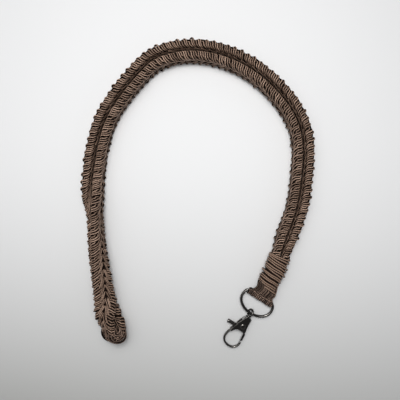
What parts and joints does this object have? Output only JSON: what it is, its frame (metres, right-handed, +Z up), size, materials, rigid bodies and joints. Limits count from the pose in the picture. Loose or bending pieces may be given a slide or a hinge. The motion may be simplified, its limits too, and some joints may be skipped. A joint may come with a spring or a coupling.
{
  "type": "neck lanyard",
  "caption": "Knotted cord neck lanyard with both ends bound by a cord wrap, hitched to a D-ring that carries a swivelling trigger snap hook for keys or a badge.",
  "frame": {"origin": "middle of the lanyard's footprint, on the surface it lies on", "axes": "+Y from the hook end towards the top of the strap's arc, +X towards the side with the D-ring, +Z up from the surface"},
  "size_m": [0.161, 0.2161, 0.0211],
  "materials": {
    "cord": "twisted waxed cord, taupe brown with a soft sheen",
    "plated_metal": "polished gunmetal plating",
    "spring_steel": "bright drawn spring wire"
  },
  "bodies": {
    "strap": {"knotting_cords": "cord", "filler_cords": "cord", "gathering_wrap": "cord", "outer_run_tails": "cord", "inner_run_tails": "cord", "bar_loop_1": "cord", "bar_loop_2": "cord", "bar_loop_3": "cord", "bar_loop_4": "cord", "bar_loop_5": "cord", "bar_loop_6": "cord", "bar_loop_7": "cord", "bar_loop_8": "cord"},
    "ring": {"d_ring": "plated_metal"},
    "eye": {"swivel_eye": "plated_metal"},
    "hook": {"hook_body": "plated_metal", "pivot_rivet": "plated_metal", "trigger_spring": "spring_steel"},
    "trigger": {"trigger_lever": "plated_metal"}
  },
  "joints": [
    {"name": "ring_swing", "type": "hinge", "parent": "strap", "child": "ring", "pos_m": [0.04447, -0.0723, 0.0031], "axis": [0.8434, -0.5373, 0], "range_deg": [-90, 90]},
    {"name": "eye_tilt", "type": "hinge", "parent": "ring", "child": "eye", "pos_m": [0.03738, -0.08343, 0.0031], "axis": [0.8434, -0.5373, 0], "range_deg": [-45, 45]},
    {"name": "hook_swivel", "type": "hinge", "parent": "eye", "child": "hook", "pos_m": [0.03738, -0.08343, 0.0031], "axis": [-0.4602, -0.8878, 0], "continuous": true},
    {"name": "trigger_pull", "type": "hinge", "parent": "hook", "child": "trigger", "pos_m": [0.03188, -0.09241, 0.0031], "axis": [0, 0, -1], "range_deg": [0, 25], "stiffness_Nm_per_rad": 0.01, "springref_deg": -17.19}
  ]
}
